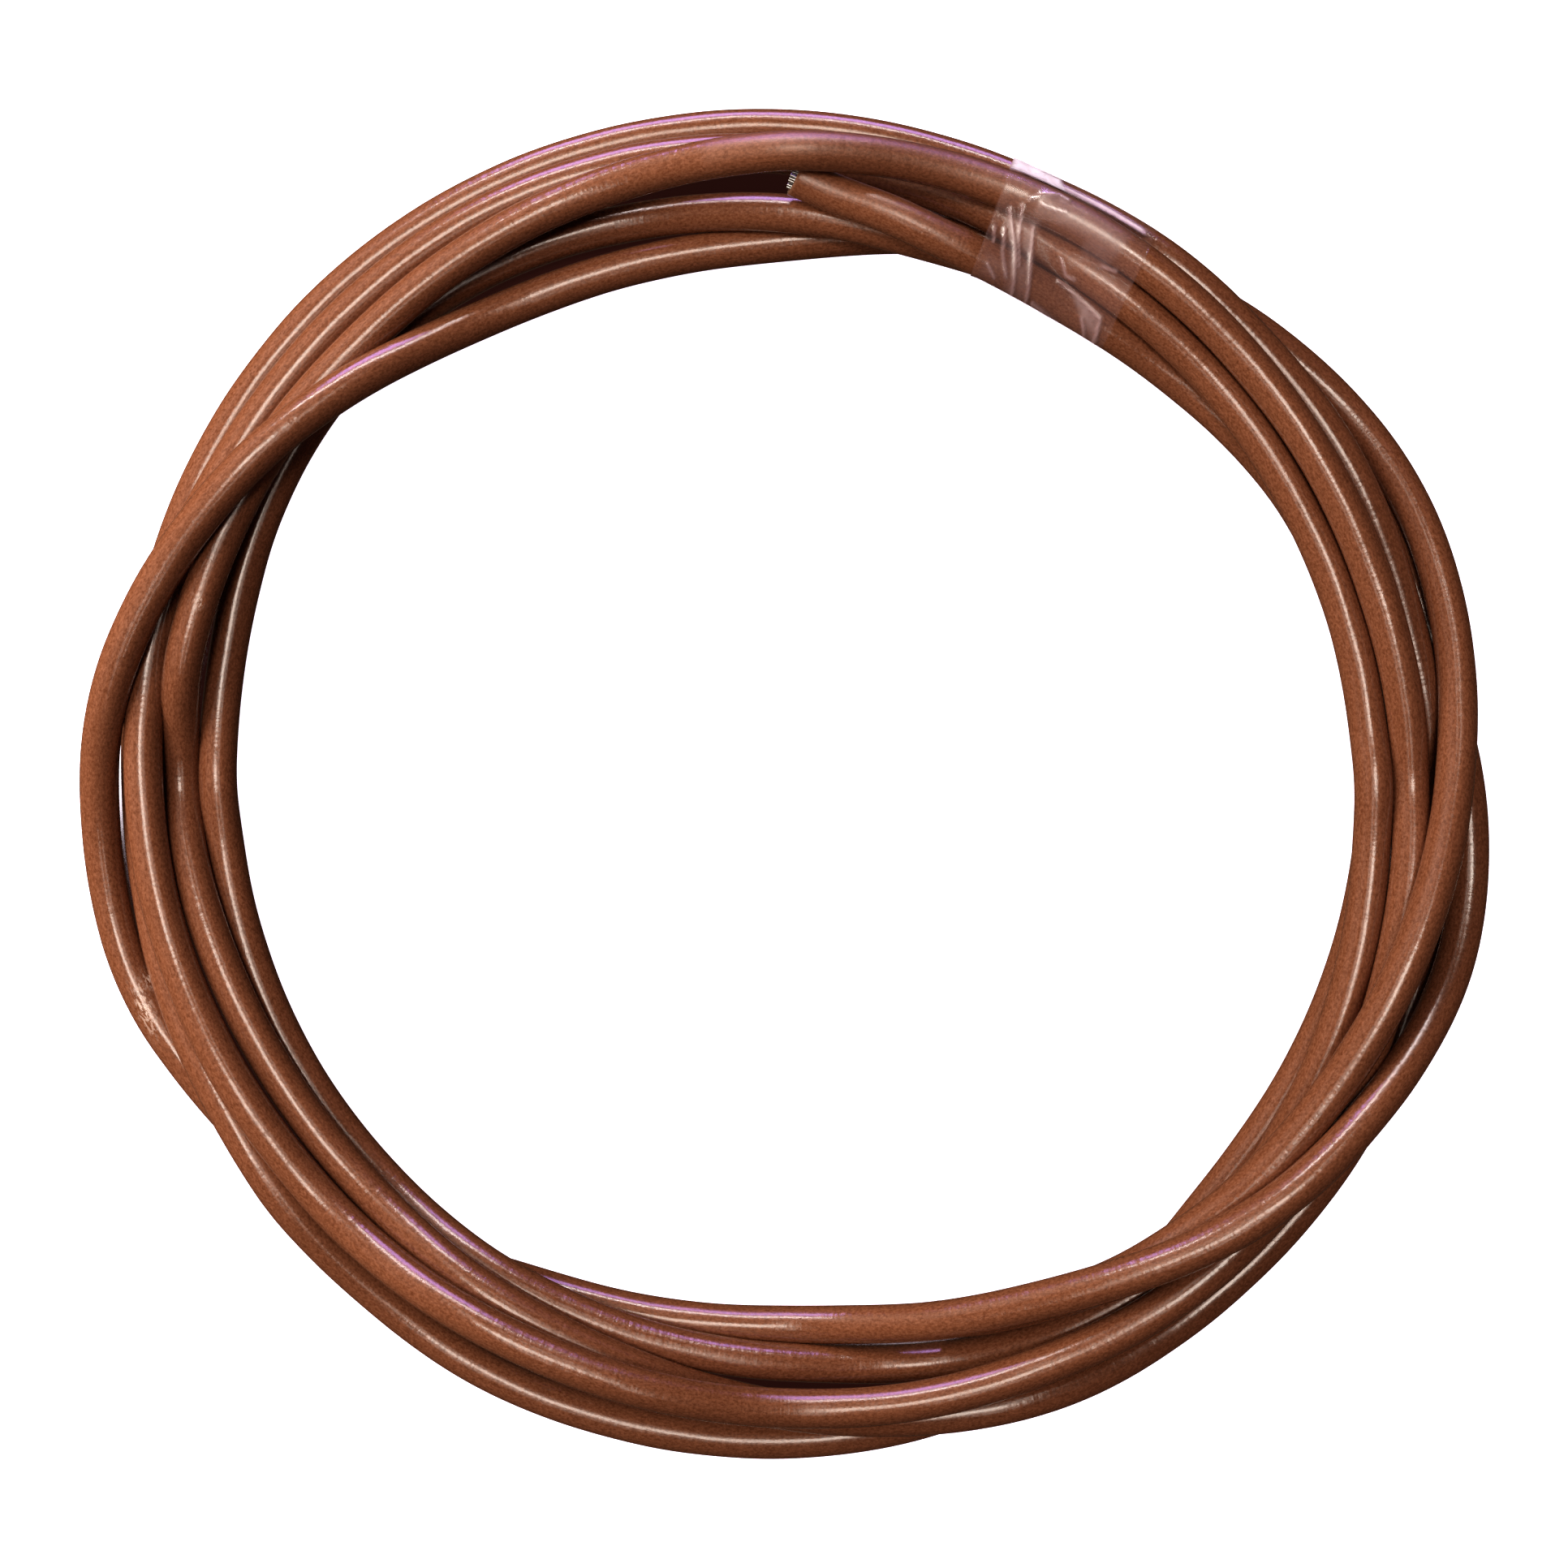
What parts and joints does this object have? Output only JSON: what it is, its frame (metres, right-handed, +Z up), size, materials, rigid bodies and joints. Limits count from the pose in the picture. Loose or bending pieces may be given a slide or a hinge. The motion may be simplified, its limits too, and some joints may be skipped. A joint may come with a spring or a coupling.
{
  "type": "window restrictor cable",
  "caption": "Loose flat coil of brown plastic-covered steel cable with bare cut ends, tied with a band of clear tape: cable stock for a window restrictor.",
  "frame": {"origin": "middle of the coil's box, on the surface that the coil lies on", "axes": "+Z up out of the coil's plane, +X along its widest way across, +Y towards the cut end that shows from above"},
  "size_m": [0.1552, 0.15, 0.0165],
  "materials": {
    "cable_jacket": "smooth brown PVC, glossy",
    "steel_wire": "cut galvanised steel wire",
    "clear_tape": "clear adhesive film, wrinkled"
  },
  "bodies": {
    "root": {"coil": "cable_jacket", "tape_band": "clear_tape", "visible_end_jacket": "cable_jacket", "hidden_end_jacket": "cable_jacket", "visible_end_king_strand": "steel_wire", "visible_end_strand_1": "steel_wire", "visible_end_strand_2": "steel_wire", "visible_end_strand_3": "steel_wire", "visible_end_strand_4": "steel_wire", "visible_end_strand_5": "steel_wire", "visible_end_strand_6": "steel_wire", "hidden_end_king_strand": "steel_wire", "hidden_end_strand_1": "steel_wire", "hidden_end_strand_2": "steel_wire", "hidden_end_strand_3": "steel_wire", "hidden_end_strand_4": "steel_wire", "hidden_end_strand_5": "steel_wire", "hidden_end_strand_6": "steel_wire"}
  },
  "joints": []
}
